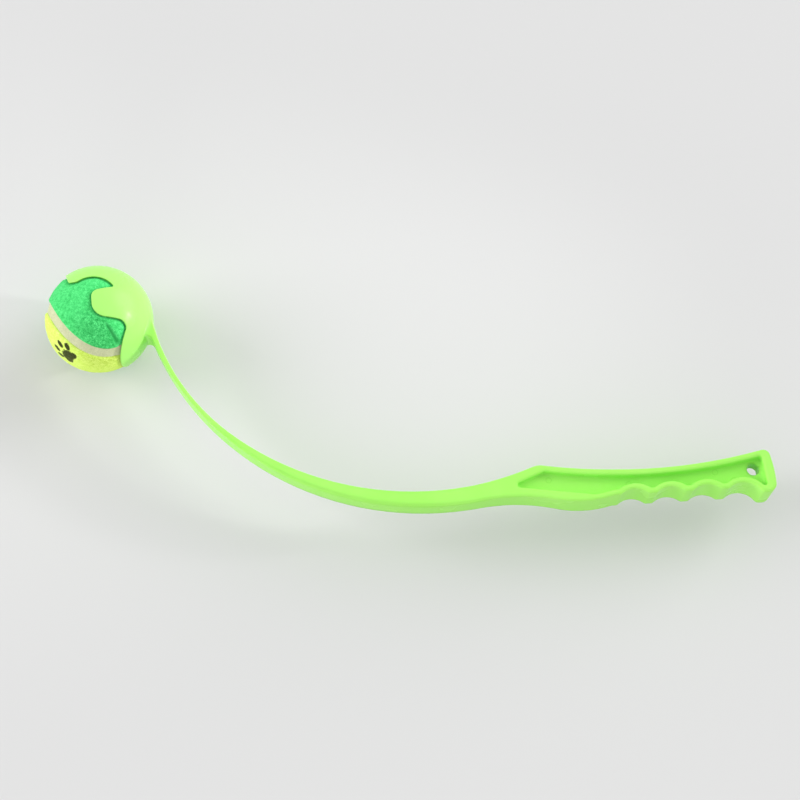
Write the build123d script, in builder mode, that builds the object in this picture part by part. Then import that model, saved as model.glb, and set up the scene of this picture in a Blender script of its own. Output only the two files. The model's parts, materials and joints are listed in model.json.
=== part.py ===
# A ball launcher for dogs: one moulded handle, shaft and cup, holding a felt-covered ball.
# The origin is the centre of the hang hole. XY is the mid-plane of the moulding,
# +X points out of the butt of the handle, +Y towards the upper edge of the grip,
# and +Z is square to the mid-plane, up when the launcher lies on its side.
from build123d import *
import os
from math import asin, cos, pi, radians, sin, sqrt, tan

# Ball sizes
ball_diameter = 62.6        # over the pressed felt
felt_thickness = 2.8
core_wall = 3.4
seam_width = 5.6
seam_recess = 0.5           # how far the rubber seam lies below the felt
seam_swing = 0.25           # share of the third harmonic in the seam curve
seam_stretches = 8          # patches that make up each wall of the seam
stretch_steps = 6           # steps along each patch
seam_attitude = (-75.0, -47.5, 144.0)   # how the ball happens to sit in the cup, degrees

# Cup sizes, the mouth measured from the ball centre
cup_turn = 70.52            # ball centre, degrees round the bow from its lowest point
cup_overhang = 23.54        # ball centre, outside the upper edge of the bow
cup_clearance = 0.35
cup_wall = 1.4
top_finger_end = (-14.2, 12.8)
top_finger_back = (-20.8, 27.0)
bay_start = (-9.2, 12.3)
bay_crown = (1.4, 16.1)
bay_end = (13.2, 9.7)
tongue_top = (0.5, 5.4)
tongue_low = (2.3, -9.8)
low_finger = (21.9, -9.9)
low_finger_slope = 70.2     # edge of the low finger, degrees from level
finger_rounding = 2.0
finger_hollow = 4.0
bay_rounding = 0.9
tongue_top_rounding = 5.0
tongue_low_rounding = 8.0
low_bay_rounding = 3.5
lip_rounding = 0.6

# Shaft sizes
bow_radius = 178.0          # upper edge
bow_thickness = 9.1
neck_start = 35.0           # where the upper edge tightens towards the cup, degrees from the lowest point
neck_station = 54.0         # where the neck is thinnest, degrees from the lowest point
neck_thickness = 2.4
arch_radius = 3.5           # hollow between the neck and the cup
shaft_width = 16.0

# Handle sizes
handle_width = 24.0
grip_reach = 126.63         # shoulder between shaft and grip, left of the hang hole
shoulder_rise = 1.34        # shoulder, above the hang hole
shoulder_angle = 24.2       # where the bow ends in the shoulder, degrees from the lowest point
shoulder_rounding = 12.0
flare_lead = 38.4           # where the shaft begins to widen, ahead of the shoulder
flare_trail = 41.6          # where it is as wide as the grip, past the shoulder
flare_rounding = 60.0
grip_hollow = 7.5           # dip of the upper edge below a straight line
butt_top = (7.8, 10.9)
butt_bottom = (11.6, -15.5)
butt_bulge = 1.2
butt_top_rounding = 4.0
butt_bottom_rounding = 5.0
lobe_rounding = 3.0
root_angle = 12.5           # where the lower edge leaves the bow
root_thickness = 10.2
belly_offset = (11.6, -21.1)    # start of the belly, from the shoulder
belly_room = 30.0           # length kept for the belly, ahead of the row of grooves
groove_pitch = 21.0
groove_depth = 3.2
groove_slope = 3.46         # lean of the row of finger grooves, degrees
groove_row_end = (0.7, -12.4)
groove_lead = 3.4           # flat between the belly and the first groove
groove_run_in = 6.0         # rounding at its start
crest_width = 4.6
crest_rounding = 2.6
rounding_share = 0.9        # the most of a flat that the roundings on both its edges may take
edge_rounding = 0.8

# Pocket sizes, the same on both faces of the handle
web_thickness = 10.0
rim_wall = 3.3
end_wall = 4.5
pocket_tip_offset = (-15.3, -12.75)     # from the shoulder
pocket_tip_rise = 24.5      # upper edge of the pocket's pointed end, degrees
pocket_tip_fall = 6.4       # its lower edge, degrees
pocket_rounding = 1.4
pocket_draft = 2.0          # lean of the pocket's walls, degrees
rim_rounding = 1.4
floor_rounding = 1.2
hang_hole_diameter = 7.5

# Radii and places that follow
ball_radius = ball_diameter / 2
core_radius = ball_radius - felt_thickness
cup_inner = ball_radius + cup_clearance
cup_outer = cup_inner + cup_wall


def on_arc(centre, radius, angle):
    """Point of an arc, its angle counted from the lowest point towards the handle."""
    return centre + Vector(radius * sin(radians(angle)), -radius * cos(radians(angle)))


def crossing(first, first_radius, second, second_radius):
    """Where two circles cross, on the left seen from the first centre to the second."""
    line = second - first
    along = (line.dot(line) + first_radius**2 - second_radius**2) / (2 * line.length)
    across = sqrt(first_radius**2 - along**2)
    axis = line.normalized()
    return first + axis * along + Vector(-axis.Y, axis.X) * across


def corner(sketch, point):
    """The sketch's vertex nearest to a point."""
    return sketch.vertices().sort_by_distance(point)[0]


def on_lip(point):
    """True on the cup's outer surface, clear of the shaft."""
    from_centre = point - ball_centre
    return abs(from_centre.length - cup_outer) < cup_clearance and from_centre.X < low_finger[0]


# The bow starts at the shoulder of the grip and carries the ball near its other end
shoulder = Vector(-grip_reach, shoulder_rise)
bow_centre = shoulder + Vector(-sin(radians(shoulder_angle)), cos(radians(shoulder_angle))) * bow_radius
ball_centre = on_arc(bow_centre, bow_radius + cup_overhang, -cup_turn)

# Upper edge of the shaft: the bow, then a tighter arc that runs through the wall onto the inside of the cup
neck_joint = on_arc(bow_centre, bow_radius, -neck_start)
to_bow_centre = (bow_centre - neck_joint).normalized()
from_ball = neck_joint - ball_centre
neck_radius = (from_ball.dot(from_ball) - cup_inner**2) / (2 * (cup_inner - to_bow_centre.dot(from_ball)))
neck_centre = neck_joint + to_bow_centre * neck_radius
cup_tangent = ball_centre + (neck_centre - ball_centre).normalized() * cup_inner

# Lower edge of the shaft: one arc, and the small arch between it and the cup
root_lower = on_arc(bow_centre, bow_radius + root_thickness, root_angle)
lower_edge = ThreePointArc(
    on_arc(neck_centre, neck_radius + neck_thickness, -neck_station),
    on_arc(bow_centre, bow_radius + bow_thickness, 0),
    root_lower,
)
lower_centre = lower_edge.arc_center
lower_radius = lower_edge.radius
arch_centre = crossing(lower_centre, lower_radius + arch_radius, ball_centre, cup_inner + arch_radius)
arch_neck = lower_centre + (arch_centre - lower_centre).normalized() * lower_radius
arch_cup = ball_centre + (arch_centre - ball_centre).normalized() * cup_inner

# Finger grooves: a row of shallow arcs along the lower edge of the grip, as many as fit behind the belly
belly_start = shoulder + Vector(*belly_offset)
groove_count = int((groove_row_end[0] - belly_start.X - belly_room) / groove_pitch)
groove_opening = groove_pitch - crest_width
groove_radius = (groove_opening**2 / 4 + groove_depth**2) / (2 * groove_depth)
crest_turn = asin(groove_opening / 2 / groove_radius)
crest_limit = rounding_share * crest_width / 2 / tan(crest_turn / 2)
row_step = Vector(-cos(radians(groove_slope)), -sin(radians(groove_slope)))
row_end = Vector(*groove_row_end)
below_row = Vector(-row_step.Y, row_step.X) * (groove_radius - groove_depth)
groove_centres = [
    row_end + row_step * (groove_opening / 2 + number * groove_pitch) + below_row
    for number in range(groove_count)
]
row_start = row_end + row_step * (groove_count * groove_pitch - crest_width + groove_lead)

# The butt ends in a lobe that the last groove cuts off
lobe_head = row_end + row_step * (groove_opening / 2)
lobe_foot = Vector(lobe_head.X, butt_bottom[1])
lobe_height = lobe_foot.Y - groove_centres[0].Y
lobe_start = Vector(groove_centres[0].X + sqrt(groove_radius**2 - lobe_height**2), lobe_foot.Y)

# The whole outline in the mid-plane, its cup end closed inside the space of the ball
with BuildSketch() as outline:
    with BuildLine():
        RadiusArc(cup_tangent, neck_joint, -neck_radius)
        RadiusArc(neck_joint, shoulder, -bow_radius)
        SagittaArc(shoulder, butt_top, -grip_hollow)
        SagittaArc(butt_top, butt_bottom, butt_bulge)
        Polyline(butt_bottom, lobe_foot, lobe_head, row_start)
        lower_bow = RadiusArc(arch_neck, root_lower, -lower_radius)
        hollow = TangentArc(root_lower, belly_start, tangent=lower_bow % 1)
        TangentArc(belly_start, row_start, tangent=hollow % 1)
        RadiusArc(arch_neck, arch_cup, -arch_radius)
        Polyline(arch_cup, ball_centre, cup_tangent)
    make_face()
    fillet(corner(outline, shoulder), shoulder_rounding)
    fillet(corner(outline, butt_top), butt_top_rounding)
    fillet(corner(outline, butt_bottom), butt_bottom_rounding)
    fillet(corner(outline, row_start), groove_run_in)

# The same outline with the finger grooves, their crests rounded
crests = [row_end + row_step * (number * groove_pitch) for number in range(1, groove_count)]
crests += [row_end + row_step * (number * groove_pitch + groove_opening) for number in range(groove_count)]
with BuildSketch() as side_view:
    add(outline.sketch)
    with Locations(*groove_centres):
        Circle(groove_radius, mode=Mode.SUBTRACT)
    fillet([corner(side_view, crest) for crest in crests], min(crest_rounding, crest_limit))
    fillet(corner(side_view, lobe_start), lobe_rounding)

# Seen from above, the shaft is a narrow strip that widens into the grip
half_shaft = shaft_width / 2
half_handle = handle_width / 2
plan_left = ball_centre.X - cup_outer
flare_start = -grip_reach - flare_lead
flare_end = -grip_reach + flare_trail
plan_right = butt_bottom[0] + handle_width
plan_depth = ball_centre.Y + cup_outer
with BuildSketch(Plane.XZ) as plan_view:
    with BuildLine():
        upper = Polyline(
            (plan_left, half_shaft),
            (flare_start, half_shaft),
            (flare_end, half_handle),
            (plan_right, half_handle),
        )
        mirror(upper, about=Plane.XZ)
        Line((plan_left, half_shaft), (plan_left, -half_shaft))
        Line((plan_right, half_handle), (plan_right, -half_handle))
    make_face()
    fillet(plan_view.vertices().sort_by(Axis.X)[2:-2], flare_rounding)

# Pocket on each face of the handle: a rim's wall inside the outline, pointed towards the shaft
tip = shoulder + Vector(*pocket_tip_offset)
grip_length = -tip.X
tip_high = tip + Vector(cos(radians(pocket_tip_rise)), sin(radians(pocket_tip_rise))) * grip_length
tip_low = tip + Vector(cos(radians(pocket_tip_fall)), -sin(radians(pocket_tip_fall))) * grip_length
end_top = Vector(*butt_top) - Vector(end_wall, 0)
end_bottom = Vector(*butt_bottom) - Vector(end_wall, 0)
end_lean = (end_top - end_bottom).normalized() * grip_length
with BuildSketch() as pocket:
    add(outline.sketch)
    with Locations((tip.X - 2 * rim_wall, 0)):
        Rectangle(2 * grip_length, 2 * grip_length, align=(Align.MIN, Align.CENTER), mode=Mode.INTERSECT)
    offset(amount=-rim_wall)
    with Locations(*groove_centres):
        Circle(groove_radius + rim_wall, mode=Mode.SUBTRACT)
    Polygon(
        tip,
        tip_low,
        end_bottom - end_lean,
        end_top + end_lean,
        tip_high,
        align=None,
        mode=Mode.INTERSECT,
    )
    offset(amount=-pocket_rounding)
    offset(amount=pocket_rounding)

# Mouth of the cup: the outline between its four fingers, seen square to the mid-plane
mouth_plane = Plane(origin=ball_centre)
mouth_far = 2 * cup_outer
low_edge = Vector(-cos(radians(low_finger_slope)), -sin(radians(low_finger_slope))) * mouth_far
low_finger_far = Vector(*low_finger) + low_edge
with BuildSketch(mouth_plane) as mouth:
    with BuildLine():
        Polyline(top_finger_back, top_finger_end, bay_start)
        ThreePointArc(bay_start, bay_crown, bay_end)
        Polyline(bay_end, tongue_top, tongue_low, low_finger, low_finger_far)
        Polyline(
            low_finger_far,
            (-mouth_far, low_finger_far.Y),
            (-mouth_far, top_finger_back[1]),
            top_finger_back,
        )
    make_face()
    fillet(corner(mouth, top_finger_end), finger_rounding)
    fillet(corner(mouth, bay_start), finger_hollow)
    fillet(corner(mouth, bay_end), bay_rounding)
    fillet(corner(mouth, tongue_top), tongue_top_rounding)
    fillet(corner(mouth, tongue_low), tongue_low_rounding)
    fillet(corner(mouth, low_finger), low_bay_rounding)

# One pocket as a plug with leaning walls and a rounded floor, to be cut from both faces
with BuildPart() as pocket_plug:
    extrude(pocket.sketch.moved(Location((0, 0, web_thickness / 2))), amount=half_handle, taper=-pocket_draft)
    fillet(pocket_plug.faces().sort_by(Axis.Z)[0].edges(), floor_rounding)

# The moulding: profile and plan crossed, the cup shell, the pockets and the hang hole
with BuildPart() as launcher_body:
    extrude(side_view.sketch, amount=half_handle, both=True)
    extrude(plan_view.sketch, amount=plan_depth, both=True, mode=Mode.INTERSECT)
    long_edges = launcher_body.edges().filter_by(Axis.Z, reverse=True).filter_by(Axis.Y, reverse=True)
    fillet(long_edges, min(edge_rounding, rounding_share * neck_thickness / 2))
    with Locations(ball_centre):
        Sphere(cup_outer)
        Sphere(cup_inner, mode=Mode.SUBTRACT)
    extrude(mouth.sketch, amount=mouth_far, both=True, mode=Mode.SUBTRACT)
    lips = launcher_body.edges(Select.LAST).filter_by(lambda edge: on_lip(edge @ 0.5))
    fillet(lips, lip_rounding)
    for plug in (pocket_plug.part, mirror(pocket_plug.part, about=Plane.XY, mode=Mode.PRIVATE)):
        add(plug, mode=Mode.SUBTRACT)
        rim = launcher_body.edges(Select.LAST).filter_by(Axis.Y, reverse=True)
        fillet(rim.filter_by(lambda edge: abs((edge @ 0.5).Z) > half_shaft - edge_rounding / 2), rim_rounding)
    Hole(hang_hole_diameter / 2)

# Seam of the ball: a closed curve that swings about the equator, and its two edges
ball_place = Plane(Location(ball_centre, seam_attitude))
main_share = 1 - seam_swing
lift_share = 2 * sqrt(main_share * seam_swing)


def seam_direction(turn):
    """Unit vector from the ball centre to the seam's middle line."""
    return Vector(
        main_share * cos(turn) + seam_swing * cos(3 * turn),
        main_share * sin(turn) - seam_swing * sin(3 * turn),
        lift_share * sin(2 * turn),
    )


def seam_run(turn):
    """Unit vector along the seam."""
    return Vector(
        -main_share * sin(turn) - 3 * seam_swing * sin(3 * turn),
        main_share * cos(turn) - 3 * seam_swing * cos(3 * turn),
        2 * lift_share * cos(2 * turn),
    ).normalized()


def seam_edge(turn, side):
    """Unit vector to one edge of the seam."""
    half_angle = side * seam_width / 2 / ball_radius
    middle = seam_direction(turn)
    sideways = middle.cross(seam_run(turn))
    return middle * cos(half_angle) + sideways * sin(half_angle)


def seam_wall(side):
    """Surface square to the ball along one edge of the seam, from inside the felt to outside it."""
    patches = []
    for number in range(seam_stretches):
        turns = [
            2 * pi * (number + step / stretch_steps) / seam_stretches
            for step in range(stretch_steps + 1)
        ]
        ends = [seam_run(turns[0]), seam_run(turns[-1])]
        curves = [
            Edge.make_spline([seam_edge(turn, side) * reach for turn in turns], tangents=ends)
            for reach in (core_radius - core_wall, ball_radius + felt_thickness)
        ]
        patches.append(Face.make_surface_from_curves(*curves))
    return ball_place.location * Shell(patches)


first_wall = seam_wall(1)
second_wall = seam_wall(-1)

# Felt panels: two dog-bone pieces of a spherical shell, each cut along one edge of the seam
with BuildPart(ball_place) as felt_panel_green:
    Sphere(ball_radius)
    Sphere(core_radius, mode=Mode.SUBTRACT)
    split(bisect_by=first_wall, keep=Keep.BOTTOM)

with BuildPart(ball_place) as felt_panel_yellow:
    Sphere(ball_radius)
    Sphere(core_radius, mode=Mode.SUBTRACT)
    split(bisect_by=second_wall, keep=Keep.TOP)

# Rubber seam: the band left between the panels, a little lower than the felt
with BuildPart(ball_place) as seam_rubber:
    Sphere(ball_radius - seam_recess)
    Sphere(core_radius, mode=Mode.SUBTRACT)
    split(bisect_by=first_wall, keep=Keep.TOP)
    split(bisect_by=second_wall, keep=Keep.BOTTOM)

# Hollow rubber core: two half shells bonded at their flat edges
with BuildPart(ball_place) as core_half_front:
    Sphere(core_radius)
    Sphere(core_radius - core_wall, mode=Mode.SUBTRACT)
    split(bisect_by=ball_place, keep=Keep.TOP)

with BuildPart(ball_place) as core_half_back:
    Sphere(core_radius)
    Sphere(core_radius - core_wall, mode=Mode.SUBTRACT)
    split(bisect_by=ball_place, keep=Keep.BOTTOM)

os.makedirs("parts", exist_ok=True)
pieces = {
    "launcher_body": launcher_body,
    "core_half_front": core_half_front,
    "core_half_back": core_half_back,
    "seam_rubber": seam_rubber,
    "felt_panel_green": felt_panel_green,
    "felt_panel_yellow": felt_panel_yellow,
}
for name, piece in pieces.items():
    piece.part.label = name
    export_step(piece.part, f"parts/{name}.step")
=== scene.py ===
import json
from math import cos, exp, pi, radians, sin, sqrt

import bpy
from mathutils import Euler, Matrix, Vector, noise
from mathutils.bvhtree import BVHTree
from mathutils.geometry import intersect_point_line
from mathutils.kdtree import KDTree

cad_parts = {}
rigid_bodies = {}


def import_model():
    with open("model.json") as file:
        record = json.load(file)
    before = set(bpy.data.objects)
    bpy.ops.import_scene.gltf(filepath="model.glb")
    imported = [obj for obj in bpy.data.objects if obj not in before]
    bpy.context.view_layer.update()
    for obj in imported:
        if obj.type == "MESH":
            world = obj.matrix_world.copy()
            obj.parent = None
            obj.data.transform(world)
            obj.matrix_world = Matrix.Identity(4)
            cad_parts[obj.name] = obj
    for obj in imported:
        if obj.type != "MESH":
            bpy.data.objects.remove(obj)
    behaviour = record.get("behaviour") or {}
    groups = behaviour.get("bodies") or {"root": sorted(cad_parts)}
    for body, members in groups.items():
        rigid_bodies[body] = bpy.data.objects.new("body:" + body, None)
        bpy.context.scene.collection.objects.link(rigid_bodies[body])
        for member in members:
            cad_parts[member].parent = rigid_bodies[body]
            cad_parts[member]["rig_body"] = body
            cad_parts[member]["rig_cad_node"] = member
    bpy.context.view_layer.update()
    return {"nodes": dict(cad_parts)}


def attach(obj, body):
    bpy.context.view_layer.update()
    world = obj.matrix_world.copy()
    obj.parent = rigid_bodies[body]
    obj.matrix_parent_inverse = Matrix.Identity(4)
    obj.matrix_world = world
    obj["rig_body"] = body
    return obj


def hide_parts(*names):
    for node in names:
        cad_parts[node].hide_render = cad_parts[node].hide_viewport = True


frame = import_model()


# Launcher: handle, shaft and cup in one piece of lime polypropylene, injection moulded in a
# two-part tool that opens square to the mid-plane. The grip is hollowed from both faces down
# to a web, so that the walls cool evenly, and the cup's fingers spring open round the ball.
mm = 0.001                     # sizes are written in millimetres, and the scene is in metres
merge_distance = 0.004 * mm
sharp_turn = radians(32)       # faces that meet at less than this are shaded as one curve

bpy.ops.object.select_all(action="DESELECT")
moulded_node = frame["nodes"]["launcher_body"]
launcher = moulded_node.copy()
launcher.data = moulded_node.data.copy()
launcher.name = "launcher"
launcher.parent = None
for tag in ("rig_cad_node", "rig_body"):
    del launcher[tag]
bpy.context.scene.collection.objects.link(launcher)
bpy.context.view_layer.objects.active = launcher
launcher.select_set(True)

bpy.ops.object.mode_set(mode="EDIT")
bpy.ops.mesh.select_all(action="SELECT")
bpy.ops.mesh.remove_doubles(threshold=merge_distance)
bpy.ops.object.mode_set(mode="OBJECT")
bpy.ops.object.shade_smooth_by_angle(angle=sharp_turn)
bpy.ops.object.modifier_add(type="WEIGHTED_NORMAL")
launcher.modifiers[-1].keep_sharp = True
bpy.ops.object.modifier_apply(modifier=launcher.modifiers[-1].name)


def linear(hex_colour):
    """An sRGB hex colour as linear red, green, blue and a full alpha."""
    shares = [int(hex_colour[place : place + 2], 16) / 255 for place in (1, 3, 5)]
    return [s / 12.92 if s <= 0.04045 else ((s + 0.055) / 1.055) ** 2.4 for s in shares] + [1.0]


def bare_material(name):
    """A new material and its node tree, which is still empty."""
    material = bpy.data.materials.new(name)
    material.use_nodes = True
    material.node_tree.nodes.clear()
    return material, material.node_tree


def add_node(tree, kind, settings, inputs):
    """Adds one node; each input is a value or another node's output.

    A Mix node's inputs go by number: 0 is the share, 2 and 3 are values, 6 and 7 are colours.
    """
    made = tree.nodes.new(kind)
    for name, value in settings.items():
        setattr(made, name, value)
    for name, value in inputs.items():
        if isinstance(value, bpy.types.NodeSocket):
            tree.links.new(value, made.inputs[name])
        else:
            made.inputs[name].default_value = value
    return made


# Polypropylene as moulded: a little light goes into it, which makes the lime glow, paler in the
# cup's thin wall, which the balls have polished. The tool leaves a satin skin with faint flow
# clouds and round ejector marks, and edges are soft. Along the fingers' edges a darker green is
# painted shade, for the shadow in the narrow gap between the fingers and the felt.
lime_pale = linear("#ACF371")
lime_deep = linear("#9EEF61")
lime_thin = linear("#A9F075")
flow_cloud = 26 * mm
skin_grain = 0.7 * mm          # drawn coarser than the real skin, so that it shows
grain_depth = 0.05 * mm
noise_levels = (0.3, 0.7)      # a noise pattern lies almost wholly between these
skin_roughness = (0.22, 0.3)   # least and most, over the flow clouds
skin_shine = 0.05
cup_shine = 0.18
light_depth = 2.2 * mm         # how far light goes into the plastic
light_shares = (1.0, 1.0, 0.45)  # of that depth, for red, green and blue
ball_centre = Vector((-389.6, 96.488, 0.0)) * mm
cup_outside = 33.05 * mm
cup_fade = 3 * mm              # how far the cup's paler lime runs out into the neck
finger_edge = 32.2 * mm        # from the ball's centre to the fingers' bare edges
# painted shade: a darker green along the fingers' edges, for the shadow in the gap over the felt
finger_shade_colour = linear("#4E9436")
finger_shade_width = 0.55 * mm
finger_shade_core = 0.6 * finger_shade_width
finger_shade_strength = 0.8
neck_softness = 0.5 * mm       # roundness that the edges show, at the neck, the shaft and the grip
shaft_softness = 6.0 * mm
grip_softness = 3.0 * mm
neck_to_shaft = (-345 * mm, -255 * mm)
shaft_to_grip = (-190 * mm, -130 * mm)
ejector_places = ((-120.0, -6.9), (-73.3, -9.3), (-22.6, -2.0), (-11.7, -6.9))
ejector_radius = 1.6 * mm
ejector_ring = 0.45 * mm
ejector_depth = 0.15 * mm
ejector_lime = linear("#7FDB45")
ejector_tint = 0.35

polypropylene, tree = bare_material("moulded_polypropylene_lime")
place = add_node(tree, "ShaderNodeTexCoord", {}, {}).outputs["Object"]
clouds = add_node(
    tree,
    "ShaderNodeTexNoise",
    {},
    {"Vector": place, "Scale": 1 / flow_cloud, "Detail": 3.0, "Roughness": 0.5},
)
thick_lime = add_node(
    tree,
    "ShaderNodeMix",
    {"data_type": "RGBA"},
    {0: clouds.outputs["Fac"], 6: lime_deep, 7: lime_pale},
)
off_ball = add_node(
    tree, "ShaderNodeVectorMath", {"operation": "DISTANCE"}, {0: place, 1: ball_centre}
)
in_cup = add_node(
    tree,
    "ShaderNodeMapRange",
    {"interpolation_type": "SMOOTHSTEP"},
    {
        "Value": off_ball.outputs["Value"],
        "From Min": cup_outside,
        "From Max": cup_outside + cup_fade,
        "To Min": 1.0,
        "To Max": 0.0,
    },
)
clean_lime = add_node(
    tree,
    "ShaderNodeMix",
    {"data_type": "RGBA"},
    {0: in_cup.outputs["Result"], 6: thick_lime.outputs[2], 7: lime_thin},
)
off_edge = add_node(
    tree,
    "ShaderNodeMath",
    {"operation": "SUBTRACT"},
    {0: off_ball.outputs["Value"], 1: finger_edge},
)
from_edge = add_node(tree, "ShaderNodeMath", {"operation": "ABSOLUTE"}, {0: off_edge.outputs[0]})
# painted shade along the fingers' edges, full within the core width and fading out beyond it
finger_shade = add_node(
    tree,
    "ShaderNodeMapRange",
    {},
    {
        "Value": from_edge.outputs[0],
        "From Min": finger_shade_core,
        "From Max": finger_shade_width,
        "To Min": finger_shade_strength,
        "To Max": 0.0,
    },
)
lime = add_node(
    tree,
    "ShaderNodeMix",
    {"data_type": "RGBA"},
    {0: finger_shade.outputs["Result"], 6: clean_lime.outputs[2], 7: finger_shade_colour},
)
rings = 0.0
for across, up in ejector_places:
    centred = add_node(
        tree,
        "ShaderNodeMapping",
        {"vector_type": "POINT"},
        {"Vector": place, "Location": (-across * mm, -up * mm, 0), "Scale": (1, 1, 0)},
    )
    reach = add_node(tree, "ShaderNodeVectorMath", {"operation": "LENGTH"}, {0: centred.outputs[0]})
    off_ring = add_node(
        tree,
        "ShaderNodeMath",
        {"operation": "SUBTRACT"},
        {0: reach.outputs["Value"], 1: ejector_radius},
    )
    from_ring = add_node(tree, "ShaderNodeMath", {"operation": "ABSOLUTE"}, {0: off_ring.outputs[0]})
    ring = add_node(
        tree,
        "ShaderNodeMapRange",
        {},
        {
            "Value": from_ring.outputs[0],
            "From Min": 0.0,
            "From Max": ejector_ring,
            "To Min": 1.0,
            "To Max": 0.0,
        },
    )
    rings = add_node(
        tree, "ShaderNodeMath", {"operation": "MAXIMUM"}, {0: rings, 1: ring.outputs["Result"]}
    ).outputs[0]
ring_tint = add_node(tree, "ShaderNodeMath", {"operation": "MULTIPLY"}, {0: rings, 1: ejector_tint})
marked = add_node(
    tree,
    "ShaderNodeMix",
    {"data_type": "RGBA"},
    {0: ring_tint.outputs[0], 6: lime.outputs[2], 7: ejector_lime},
)
along = add_node(tree, "ShaderNodeSeparateXYZ", {}, {"Vector": place})
softer = add_node(
    tree,
    "ShaderNodeMapRange",
    {},
    {
        "Value": along.outputs["X"],
        "From Min": neck_to_shaft[0],
        "From Max": neck_to_shaft[1],
        "To Min": neck_softness,
        "To Max": shaft_softness,
    },
)
crisper = add_node(
    tree,
    "ShaderNodeMapRange",
    {},
    {
        "Value": along.outputs["X"],
        "From Min": shaft_to_grip[0],
        "From Max": shaft_to_grip[1],
        "To Min": 0.0,
        "To Max": shaft_softness - grip_softness,
    },
)
softness = add_node(
    tree,
    "ShaderNodeMath",
    {"operation": "SUBTRACT"},
    {0: softer.outputs["Result"], 1: crisper.outputs["Result"]},
)
rims = add_node(tree, "ShaderNodeBevel", {"samples": 12}, {"Radius": softness.outputs[0]})
grain = add_node(
    tree,
    "ShaderNodeTexNoise",
    {},
    {"Vector": place, "Scale": 1 / skin_grain, "Detail": 2.0, "Roughness": 0.6},
)
skin = add_node(
    tree,
    "ShaderNodeBump",
    {},
    {
        "Strength": 0.25,
        "Distance": grain_depth,
        "Height": grain.outputs["Fac"],
        "Normal": rims.outputs["Normal"],
    },
)
marks = add_node(
    tree,
    "ShaderNodeBump",
    {"invert": True},
    {"Strength": 0.6, "Distance": ejector_depth, "Height": rings, "Normal": skin.outputs["Normal"]},
)
gloss = add_node(
    tree,
    "ShaderNodeMapRange",
    {},
    {
        "Value": clouds.outputs["Fac"],
        "From Min": noise_levels[0],
        "From Max": noise_levels[1],
        "To Min": skin_roughness[0],
        "To Max": skin_roughness[1],
    },
)
polish = add_node(
    tree,
    "ShaderNodeMapRange",
    {},
    {
        "Value": in_cup.outputs["Result"],
        "From Min": 0.0,
        "From Max": 1.0,
        "To Min": skin_shine,
        "To Max": cup_shine,
    },
)
surface = add_node(
    tree,
    "ShaderNodeBsdfPrincipled",
    {},
    {
        "Base Color": marked.outputs[2],
        "Roughness": gloss.outputs["Result"],
        "IOR": 1.49,
        "Specular IOR Level": polish.outputs["Result"],
        "Subsurface Weight": 0.15,
        "Subsurface Radius": light_shares,
        "Subsurface Scale": light_depth,
        "Normal": marks.outputs["Normal"],
    },
)
add_node(tree, "ShaderNodeOutputMaterial", {}, {"Surface": surface.outputs[0]})

launcher.data.materials.clear()
launcher.data.materials.append(polypropylene)
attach(launcher, "launcher")
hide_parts("launcher_body")


# Ball core: two moulded half shells of black rubber, bonded edge to edge. The felt and the
# seam close it in all round, so it keeps the shape of its solids and a plain moulded skin.
core_black = linear("#1E1E1E")
bloom_grey = linear("#333331")
core_bloom = 6 * mm            # width of the pale bloom's clouds on the rubber
core_relief = 0.1 * mm

core_rubber, tree = bare_material("moulded_black_rubber")
place = add_node(tree, "ShaderNodeTexCoord", {}, {}).outputs["Object"]
bloom = add_node(
    tree, "ShaderNodeTexNoise", {}, {"Vector": place, "Scale": 1 / core_bloom, "Detail": 4.0}
)
black = add_node(
    tree,
    "ShaderNodeMix",
    {"data_type": "RGBA"},
    {0: bloom.outputs["Fac"], 6: core_black, 7: bloom_grey},
)
buffed = add_node(
    tree,
    "ShaderNodeBump",
    {},
    {"Strength": 0.4, "Distance": core_relief, "Height": bloom.outputs["Fac"]},
)
surface = add_node(
    tree,
    "ShaderNodeBsdfPrincipled",
    {},
    {
        "Base Color": black.outputs[2],
        "Roughness": 0.8,
        "IOR": 1.52,
        "Normal": buffed.outputs["Normal"],
    },
)
add_node(tree, "ShaderNodeOutputMaterial", {}, {"Surface": surface.outputs[0]})
for half in ("core_half_front", "core_half_back"):
    frame["nodes"][half].data.materials.clear()
    frame["nodes"][half].data.materials.append(core_rubber)


# Seam: a band of pale rubber that is squeezed up between the two felt panels when the ball
# is cured in its mould. It lies a little below the felt and runs once round the ball.
ball_radius = 31.3 * mm
seam_half_width = 2.8 * mm
seam_depth = 0.5 * mm
seam_wall = 1.6 * mm
seam_tuck = 0.9 * mm           # how far the band runs in under the felt's edges
seam_dish = 0.25 * mm          # how much lower the band lies along its middle
seam_ripple = 0.06 * mm
ripple_length = 4 * mm
seam_attitude = Euler((radians(-75.0), radians(-47.5), radians(144.0)), "ZYX").to_matrix()
seam_swing = 0.25              # 0 would be a plain ring round the ball, 0.25 gives two dog bones
seam_samples = 2400
skin_subdivisions = 7          # of an ico sphere, which makes its faces about 0.6 mm wide
border_slack = 0.3 * mm        # a skin is cut this far outside its borders, then drawn in to them

seam_tree = KDTree(seam_samples)
seam_sideways = []
for number in range(seam_samples):
    turn = 2 * pi * number / seam_samples
    middle = Vector(
        (
            (1 - seam_swing) * cos(turn) + seam_swing * cos(3 * turn),
            (1 - seam_swing) * sin(turn) - seam_swing * sin(3 * turn),
            2 * sqrt((1 - seam_swing) * seam_swing) * sin(2 * turn),
        )
    )
    run = Vector(
        (
            -(1 - seam_swing) * sin(turn) - 3 * seam_swing * sin(3 * turn),
            (1 - seam_swing) * cos(turn) - 3 * seam_swing * cos(3 * turn),
            4 * sqrt((1 - seam_swing) * seam_swing) * cos(2 * turn),
        )
    ).normalized()
    seam_tree.insert(seam_attitude @ middle, number)
    seam_sideways.append(seam_attitude @ middle.cross(run))
seam_tree.balance()


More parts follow.
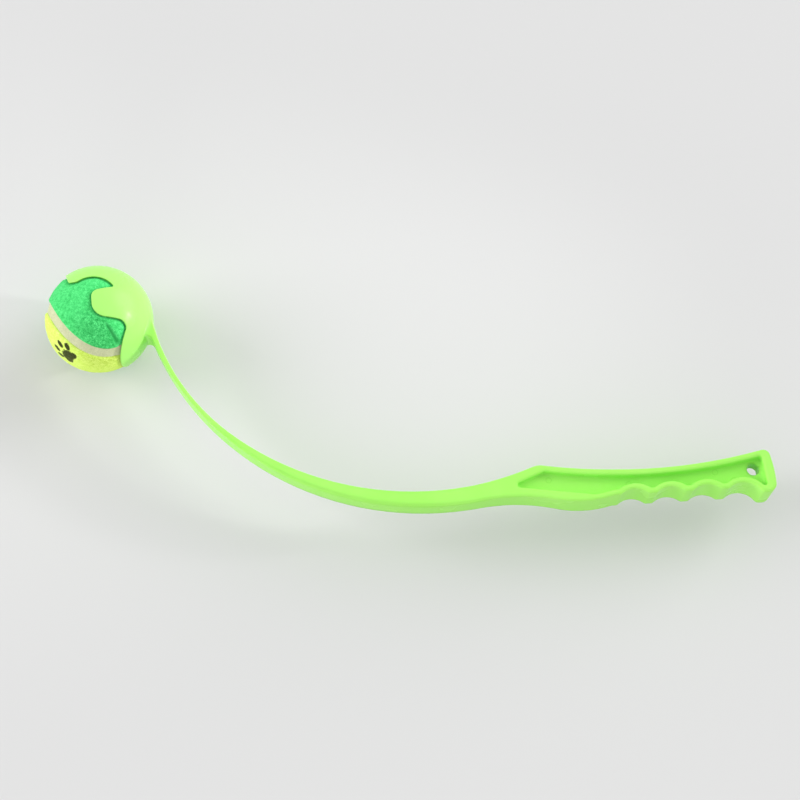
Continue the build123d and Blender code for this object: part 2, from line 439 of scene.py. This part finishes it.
def from_seam(direction):
    """Distance over the ball from the seam's middle line, with its sign, and the way it grows."""
    nearest, number = seam_tree.find(direction)[:2]
    sideways = seam_sideways[number]
    side = 1 if direction.dot(sideways) > 0 else -1
    return side * ball_radius * direction.angle(nearest), sideways


def ball_skin(name, low, high):
    """A round skin of the ball between two distances from the seam, its borders drawn onto them."""
    bpy.ops.object.select_all(action="DESELECT")
    bpy.ops.mesh.primitive_ico_sphere_add(
        subdivisions=skin_subdivisions, radius=ball_radius, location=ball_centre
    )
    skin = bpy.context.object
    skin.name = name
    bpy.ops.object.transform_apply(location=True, rotation=True, scale=True)
    bpy.ops.object.mode_set(mode="EDIT")
    bpy.ops.mesh.select_all(action="DESELECT")
    bpy.ops.object.mode_set(mode="OBJECT")
    for vertex in skin.data.vertices:
        distance = from_seam((vertex.co - ball_centre).normalized())[0]
        vertex.select = not low - border_slack < distance < high + border_slack
    bpy.ops.object.mode_set(mode="EDIT")
    bpy.ops.mesh.delete(type="VERT")
    bpy.ops.mesh.select_all(action="DESELECT")
    bpy.ops.mesh.select_non_manifold()
    bpy.ops.object.mode_set(mode="OBJECT")
    for vertex in skin.data.vertices:
        if vertex.select:
            direction = (vertex.co - ball_centre).normalized()
            distance, growth = from_seam(direction)
            limit = low if abs(distance - low) < abs(distance - high) else high
            moved = direction + growth * ((limit - distance) / ball_radius)
            vertex.co = ball_centre + moved.normalized() * ball_radius
    return skin


def close_skin(skin, thickness):
    """Gives a skin its thickness towards the ball's centre and smooth shading."""
    bpy.ops.object.modifier_add(type="SOLIDIFY")
    skin.modifiers[-1].thickness = thickness
    skin.modifiers[-1].offset = -1
    bpy.ops.object.modifier_apply(modifier=skin.modifiers[-1].name)
    bpy.ops.object.shade_smooth()


seam = ball_skin("seam", -seam_half_width - seam_tuck, seam_half_width + seam_tuck)
for vertex in seam.data.vertices:
    outward = (vertex.co - ball_centre).normalized()
    distance = from_seam(outward)[0]
    dish = seam_dish * (1 - min(1, abs(distance) / seam_half_width) ** 2)
    ripple = seam_ripple * noise.noise(outward * ball_radius / ripple_length)
    vertex.co = ball_centre + outward * (ball_radius - seam_depth - dish + ripple)
close_skin(seam, seam_wall)

# Vulcanised natural rubber: matt and chalky, with a faint cloud and the grit of the felt's dust.
cream_deep = linear("#BDC292")
cream_pale = linear("#DADDB6")
chalk_cloud = 5 * mm
dust_grit = 0.8 * mm
dust_shades = (0.6, 1.15)      # how much the dust darkens and lightens the cream
dust_strength = 0.35
pit_depth = 0.12 * mm

seam_rubber, tree = bare_material("vulcanised_rubber_cream")
place = add_node(tree, "ShaderNodeTexCoord", {}, {}).outputs["Object"]
chalk = add_node(
    tree, "ShaderNodeTexNoise", {}, {"Vector": place, "Scale": 1 / chalk_cloud, "Detail": 4.0}
)
dust = add_node(
    tree, "ShaderNodeTexNoise", {}, {"Vector": place, "Scale": 1 / dust_grit, "Detail": 3.0}
)
cream = add_node(
    tree,
    "ShaderNodeMix",
    {"data_type": "RGBA"},
    {0: chalk.outputs["Fac"], 6: cream_deep, 7: cream_pale},
)
dust_shade = add_node(
    tree,
    "ShaderNodeMapRange",
    {},
    {
        "Value": dust.outputs["Fac"],
        "From Min": noise_levels[0],
        "From Max": noise_levels[1],
        "To Min": dust_shades[0],
        "To Max": dust_shades[1],
    },
)
dusty = add_node(
    tree,
    "ShaderNodeMix",
    {"data_type": "RGBA", "blend_type": "MULTIPLY"},
    {0: dust_strength, 6: cream.outputs[2], 7: dust_shade.outputs["Result"]},
)
pitted = add_node(
    tree,
    "ShaderNodeBump",
    {},
    {"Strength": 0.5, "Distance": pit_depth, "Height": dust.outputs["Fac"]},
)
surface = add_node(
    tree,
    "ShaderNodeBsdfPrincipled",
    {},
    {
        "Base Color": dusty.outputs[2],
        "Roughness": 0.75,
        "IOR": 1.52,
        "Normal": pitted.outputs["Normal"],
    },
)
add_node(tree, "ShaderNodeOutputMaterial", {}, {"Surface": surface.outputs[0]})
seam.data.materials.append(seam_rubber)
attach(seam, "ball")
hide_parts("seam_rubber")


# Felt panels: two dog-bone pieces of woven wool and nylon felt, cemented round the core, one
# dyed green and one yellow. The cut edges turn down to the rubber, and the nap stands in tufts,
# pressed flat where the cup's fingers hold the ball.
felt_wall = 2.4 * mm
half_girth = pi * ball_radius  # no felt is further from the seam than this
edge_turn = 1.7 * mm           # width of the cut edge that curves down
edge_drop = 1.2 * mm
cut_back = 0.3 * mm            # how far the felt's cut edge has frayed back from the seam
nap_pressed = 0.05 * mm        # how far the nap stands out of the felt under the cup's fingers
nap_free = 0.6 * mm            # and away from them
nap_rise = (0.5 * mm, 2.6 * mm)  # distances from the plastic where it starts and ends rising
tuft_width = 2.2 * mm
tuft_height = 0.1 * mm
small_tufts = (2.3, 0.5)       # how many times finer the small tufts are, and their share of the height
shade_line_reach = (0.45 * mm, 1.3 * mm)  # painted shade: a dark line on the nap along the fingers' edges
cover_reach = 4 * mm           # felt with plastic this near above it lies under a finger
crease_ends = (Vector((0.255, -0.353, 0.9)), Vector((0.511, -0.719, 0.472)))
crease_width = (0.7 * mm, 2.0 * mm)
crease_depth = 0.6 * mm
crease_ramps = (4, 6)          # it deepens over a quarter of its length and dies out over a sixth

plastic = BVHTree.FromObject(launcher, bpy.context.evaluated_depsgraph_get())


def share_between(value, start, end):
    """How far a value has come from start to end, held between 0 and 1."""
    return min(1, max(0, (value - start) / (end - start)))


def crease(outward):
    """How deep the felt's crease is in a direction from the ball's centre, from 0 to 1."""
    start, end = crease_ends
    share = intersect_point_line(outward, start, end)[1]
    if not 0 < share < 1:
        return 0.0
    off_line = ball_radius * outward.angle(start.lerp(end, share))
    width = crease_width[0] + (crease_width[1] - crease_width[0]) * share
    deepening = min(1, crease_ramps[0] * share)
    dying_out = min(1, crease_ramps[1] * (1 - share))
    return deepening * dying_out * exp(-((off_line / width) ** 2))


def felt_panel(name, low, high):
    """One felt panel with its turned edge and tufted nap."""
    panel = ball_skin(name, low, high)
    # painted shade, kept per point: darker along the fingers' edges and in the crease
    edge_and_crease_shade = panel.data.attributes.new("edge_and_crease_shade", "FLOAT", "POINT")
    for vertex in panel.data.vertices:
        outward = (vertex.co - ball_centre).normalized()
        distance = from_seam(outward)[0]
        from_edge = max(0, abs(distance) - seam_half_width - cut_back)
        turned = edge_drop * max(0, 1 - from_edge / edge_turn) ** 2
        tuft_place = outward * ball_radius / tuft_width
        finer, lower = small_tufts
        tufts = noise.noise(tuft_place) + lower * noise.noise(tuft_place * finer)
        clear = plastic.find_nearest(vertex.co)[3]
        rise = share_between(clear, *nap_rise)
        nap = nap_pressed + (nap_free - nap_pressed) * rise * rise * (3 - 2 * rise)
        folded = crease(outward)
        covered = plastic.ray_cast(vertex.co, outward, cover_reach)[0] is not None
        line = 0.0 if covered else 1 - share_between(clear, *shade_line_reach)
        edge_and_crease_shade.data[vertex.index].value = max(line, folded)
        height = nap - turned + tuft_height * tufts - crease_depth * folded
        vertex.co = ball_centre + outward * (ball_radius + height)
    close_skin(panel, felt_wall)
    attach(panel, "ball")
    return panel


green_felt = felt_panel("felt_green", seam_half_width + cut_back, half_girth)
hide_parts("felt_panel_green")
yellow_felt = felt_panel("felt_yellow", -half_girth, -seam_half_width - cut_back)
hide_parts("felt_panel_yellow")

# Wool and nylon felt, raised with wire brushes: clumps of fibres, dark in their hollows and pale
# at a grazing view. Painted shade darkens it along the fingers' edges and in the crease, and
# painted shade darkens the nap's hollows on one side of the ball, up to the crease.
clump_width = 1.9 * mm
fibre_width = 0.7 * mm         # drawn coarser than the real fibres, so that they show
fibre_share = 0.62             # of the nap's pattern; the clumps have the rest
nap_relief = 0.35 * mm
nap_levels = (0.34, 0.5, 0.66)  # of the pattern, for the deep, the middle and the pale dye
hollow_levels = (0.4, 0.62)
edge_and_crease_shade_strength = 0.8
# painted shade: the nap's hollows are drawn darker on one side of the ball, up to the crease
side_shade_strength = 0.6
side_shade_way = Vector((0.36, -0.66, 0.66))
side_shade_start = 0.6               # cosine of the angle from that direction where the painted shade starts
crease_side = crease_ends[0].cross(crease_ends[1]).normalized()
crease_fade = 0.03             # the painted shade ends this softly, as a share of the radius either side


def felt_material(name, sheen, shade_dye, deep, mid, pale):
    """Napped felt of one dye; the nodes that a print on it needs are named."""
    felt, tree = bare_material(name)
    place = add_node(tree, "ShaderNodeTexCoord", {"name": "place"}, {}).outputs["Object"]
    clumps = add_node(
        tree,
        "ShaderNodeTexNoise",
        {},
        {"Vector": place, "Scale": 1 / clump_width, "Detail": 3.0, "Roughness": 0.6},
    )
    fibres = add_node(
        tree,
        "ShaderNodeTexNoise",
        {"name": "fibres"},
        {
            "Vector": place,
            "Scale": 1 / fibre_width,
            "Detail": 4.0,
            "Roughness": 0.7,
            "Distortion": 1.2,
        },
    )
    nap = add_node(
        tree,
        "ShaderNodeMix",
        {"data_type": "FLOAT"},
        {0: fibre_share, 2: clumps.outputs["Fac"], 3: fibres.outputs["Fac"]},
    )
    shade = add_node(tree, "ShaderNodeValToRGB", {}, {"Fac": nap.outputs[0]})
    shade.color_ramp.elements[0].position = nap_levels[0]
    shade.color_ramp.elements[0].color = linear(deep)
    shade.color_ramp.elements[1].position = nap_levels[2]
    shade.color_ramp.elements[1].color = linear(pale)
    shade.color_ramp.elements.new(nap_levels[1]).color = linear(mid)
    # painted shade from the felt's points, along the fingers' edges and in the crease
    edge_and_crease_shade = add_node(tree, "ShaderNodeAttribute", {"attribute_name": "edge_and_crease_shade"}, {})
    edge_and_crease_shade_share = add_node(
        tree,
        "ShaderNodeMath",
        {"operation": "MULTIPLY"},
        {0: edge_and_crease_shade.outputs["Fac"], 1: edge_and_crease_shade_strength},
    )
    off_centre = add_node(
        tree, "ShaderNodeVectorMath", {"operation": "SUBTRACT"}, {0: place, 1: ball_centre}
    )
    outward = add_node(
        tree, "ShaderNodeVectorMath", {"operation": "NORMALIZE"}, {0: off_centre.outputs[0]}
    )
    facing = add_node(
        tree,
        "ShaderNodeVectorMath",
        {"operation": "DOT_PRODUCT"},
        {0: outward.outputs[0], 1: side_shade_way},
    )
    # painted shade on the side of the ball that faces the given way
    side_shade = add_node(
        tree,
        "ShaderNodeMapRange",
        {"interpolation_type": "SMOOTHSTEP"},
        {
            "Value": facing.outputs["Value"],
            "From Min": side_shade_start,
            "From Max": 1.0,
            "To Min": 0.0,
            "To Max": side_shade_strength,
        },
    )
    beyond = add_node(
        tree,
        "ShaderNodeVectorMath",
        {"operation": "DOT_PRODUCT"},
        {0: outward.outputs[0], 1: crease_side},
    )
    crease_shaded_side = add_node(
        tree,
        "ShaderNodeMapRange",
        {},
        {
            "Value": beyond.outputs["Value"],
            "From Min": -crease_fade,
            "From Max": crease_fade,
            "To Min": 1.0,
            "To Max": 0.0,
        },
    )
    hollows = add_node(
        tree,
        "ShaderNodeMapRange",
        {},
        {
            "Value": nap.outputs[0],
            "From Min": hollow_levels[0],
            "From Max": hollow_levels[1],
            "To Min": 1.0,
            "To Max": 0.0,
        },
    )
    side_shade_here = add_node(
        tree,
        "ShaderNodeMath",
        {"operation": "MULTIPLY"},
        {0: side_shade.outputs["Result"], 1: crease_shaded_side.outputs["Result"]},
    )
    side_shade_share = add_node(
        tree,
        "ShaderNodeMath",
        {"operation": "MULTIPLY"},
        {0: side_shade_here.outputs[0], 1: hollows.outputs["Result"]},
    )
    painted_shade_share = add_node(
        tree,
        "ShaderNodeMath",
        {"operation": "MAXIMUM"},
        {0: edge_and_crease_shade_share.outputs[0], 1: side_shade_share.outputs[0]},
    )
    # painted shade: mixes the shade colour in at the fingers' edges, the crease and the darker side
    painted_shade = add_node(
        tree,
        "ShaderNodeMix",
        {"name": "painted_shade", "data_type": "RGBA"},
        {0: painted_shade_share.outputs[0], 6: shade.outputs["Color"], 7: linear(shade_dye)},
    )
    raised = add_node(
        tree,
        "ShaderNodeBump",
        {},
        {"Strength": 0.9, "Distance": nap_relief, "Height": nap.outputs[0]},
    )
    surface = add_node(
        tree,
        "ShaderNodeBsdfPrincipled",
        {"name": "surface"},
        {
            "Base Color": painted_shade.outputs[2],
            "Roughness": 0.95,
            "Specular IOR Level": 0.15,
            "Sheen Weight": sheen,
            "Sheen Roughness": 0.45,
            "Sheen Tint": linear(pale),
            "Normal": raised.outputs["Normal"],
        },
    )
    add_node(tree, "ShaderNodeOutputMaterial", {}, {"Surface": surface.outputs[0]})
    return felt


# the darkest colour given to each felt below is the colour of its painted shade
green_wool = felt_material(
    "napped_wool_felt_green",
    sheen=0.8,
    shade_dye="#127A34",
    deep="#1FA648",
    mid="#4CDC76",
    pale="#74FA9A",
)
green_felt.data.materials.append(green_wool)
yellow_wool = felt_material(
    "napped_wool_felt_yellow",
    sheen=0.3,
    shade_dye="#94A832",
    deep="#C9EC52",
    mid="#DEFF6E",
    pale="#F1FF9A",
)
yellow_felt.data.materials.append(yellow_wool)


# Paw mark: dark ink stamped on the yellow felt, one broad pad with four toes above it. The
# ink sits on the tips of the nap, so its border is ragged and the dye shows through a little.
paw_place = Vector((-14.6, -26.3, 8.6)).normalized()  # from the ball's centre
toes_way = Vector((-0.75, 0.52, 0.35))  # roughly, and then squared to the ball
paw_across = toes_way.cross(paw_place).normalized()
paw_up = paw_place.cross(paw_across).normalized()
paw_turn = Matrix((paw_across, paw_up, paw_place)).transposed().to_euler("XYZ")
# Ovals in millimetres: place across and up, half width, half height, and lean in degrees.
paw_ovals = [(0.0, 0.4, 4.9, 4.2, 0.0), (-3.0, -1.9, 2.7, 2.5, 0.0), (3.0, -1.9, 2.7, 2.5, 0.0)]
toe_half_width = 1.8
toe_half_height = 2.6
toe_lean = 0.6                 # share of its turn round the pad that a toe itself leans
toe_places = ((-58, 7.5), (-20, 8.7), (20, 8.7), (58, 7.5))  # turn in degrees, and reach
for turn, reach in toe_places:
    across = reach * sin(radians(turn))
    up = reach * cos(radians(turn))
    paw_ovals.append((across, up, toe_half_width, toe_half_height, -turn * toe_lean))
ink_depth = 12                 # millimetres that an oval reaches in and out along the stamp's way
ink_colour = linear("#10160A")
ink_cover = 0.97
ink_border = (0.92, 1.1)       # of an oval's size, where the ink starts and ends fading
ink_raggedness = 0.22

tree = yellow_wool.node_tree
place = tree.nodes["place"].outputs["Object"]
ragged = add_node(
    tree,
    "ShaderNodeMapRange",
    {},
    {
        "Value": tree.nodes["fibres"].outputs["Fac"],
        "From Min": noise_levels[0],
        "From Max": noise_levels[1],
        "To Min": -ink_raggedness,
        "To Max": ink_raggedness,
    },
)
on_paw = add_node(
    tree,
    "ShaderNodeMapping",
    {"vector_type": "TEXTURE"},
    {
        "Vector": place,
        "Location": ball_centre + paw_place * ball_radius,
        "Rotation": paw_turn,
        "Scale": (mm, mm, mm),
    },
)
nearest_oval = 1000.0          # outside them all, until an oval is nearer
for across, up, half_width, half_height, lean in paw_ovals:
    in_oval = add_node(
        tree,
        "ShaderNodeMapping",
        {"vector_type": "TEXTURE"},
        {
            "Vector": on_paw.outputs[0],
            "Location": (across, up, 0),
            "Rotation": (0, 0, radians(lean)),
            "Scale": (half_width, half_height, ink_depth),
        },
    )
    reach = add_node(tree, "ShaderNodeVectorMath", {"operation": "LENGTH"}, {0: in_oval.outputs[0]})
    nearest_oval = add_node(
        tree,
        "ShaderNodeMath",
        {"operation": "MINIMUM"},
        {0: nearest_oval, 1: reach.outputs["Value"]},
    ).outputs[0]
ragged_reach = add_node(
    tree, "ShaderNodeMath", {"operation": "ADD"}, {0: nearest_oval, 1: ragged.outputs[0]}
)
ink_share = add_node(
    tree,
    "ShaderNodeMapRange",
    {},
    {
        "Value": ragged_reach.outputs[0],
        "From Min": ink_border[0],
        "From Max": ink_border[1],
        "To Min": ink_cover,
        "To Max": 0.0,
    },
)
inked = add_node(
    tree,
    "ShaderNodeMix",
    {"data_type": "RGBA"},
    {0: ink_share.outputs["Result"], 6: tree.nodes["painted_shade"].outputs[2], 7: ink_colour},
)
tree.links.new(inked.outputs[2], tree.nodes["surface"].inputs["Base Color"])


# Stage: a plain pale floor of matt paper under soft studio light, with one small lamp that puts
# the highlight on the cup, and the camera at the photograph's angle.
floor_level = -33.1 * mm
floor_size = 40000 * mm        # so wide that its edges lie out of view
paper_grey = linear("#D7D7D7")
sky_white = linear("#FFFFFF")
sky_strength = 0.72

bpy.ops.object.select_all(action="DESELECT")
bpy.ops.mesh.primitive_plane_add(size=floor_size, location=(ball_centre.x / 2, 0, floor_level))
floor = bpy.context.object
floor.name = "floor"
paper, tree = bare_material("matt_backdrop_paper")
surface = add_node(
    tree,
    "ShaderNodeBsdfPrincipled",
    {},
    {"Base Color": paper_grey, "Roughness": 0.9, "Specular IOR Level": 0.1},
)
add_node(tree, "ShaderNodeOutputMaterial", {}, {"Surface": surface.outputs[0]})
floor.data.materials.append(paper)

world = bpy.data.worlds.new("studio")
bpy.context.scene.world = world
world.use_nodes = True
tree = world.node_tree
tree.nodes.clear()
sky = add_node(tree, "ShaderNodeBackground", {}, {"Color": sky_white, "Strength": sky_strength})
add_node(tree, "ShaderNodeOutputWorld", {}, {"Surface": sky.outputs[0]})

# Each sun's strength, its width in degrees, which softens its shadow, and the way towards it.
suns = {
    "key": (1.8, 40, (-0.9, 0.1, 0.38)),
    "fill": (1.42, 40, (0.85, 0.5, 0.42)),
    "front": (0.65, 30, (-0.1, -0.95, 0.1)),
}
for name, (strength, width, towards) in suns.items():
    bpy.ops.object.light_add(type="SUN")
    sun = bpy.context.object
    sun.name = name
    sun.data.energy = strength
    sun.data.angle = radians(width)
    sun.rotation_euler = Vector(towards).to_track_quat("Z", "Y").to_euler()

lamp_place = (570 * mm, 131 * mm, 286 * mm)
lamp_width = 80 * mm
lamp_beam = 25                 # degrees
lamp_power = 0.065             # watts
bpy.ops.object.light_add(type="AREA", location=lamp_place)
side = bpy.context.object
side.name = "side"
side.data.shape = "DISK"
side.data.size = lamp_width
side.data.spread = radians(lamp_beam)
side.data.energy = lamp_power
side.rotation_euler = (side.location - ball_centre).to_track_quat("Z", "Y").to_euler()

camera_place = Vector((-206.6, -302.0, 953.2)) * mm
camera_target = Vector((-206.6, 44.9, 0.0)) * mm
sensor_width = 36              # this and the lens are in millimetres, as the camera takes them
lens_length = 76.5
bpy.ops.object.camera_add(location=camera_place)
camera = bpy.context.object
camera.rotation_euler = (camera_place - camera_target).to_track_quat("Z", "Y").to_euler()
camera.data.sensor_width = sensor_width
camera.data.lens = lens_length
bpy.context.scene.camera = camera
bpy.context.scene.view_settings.view_transform = "Standard"
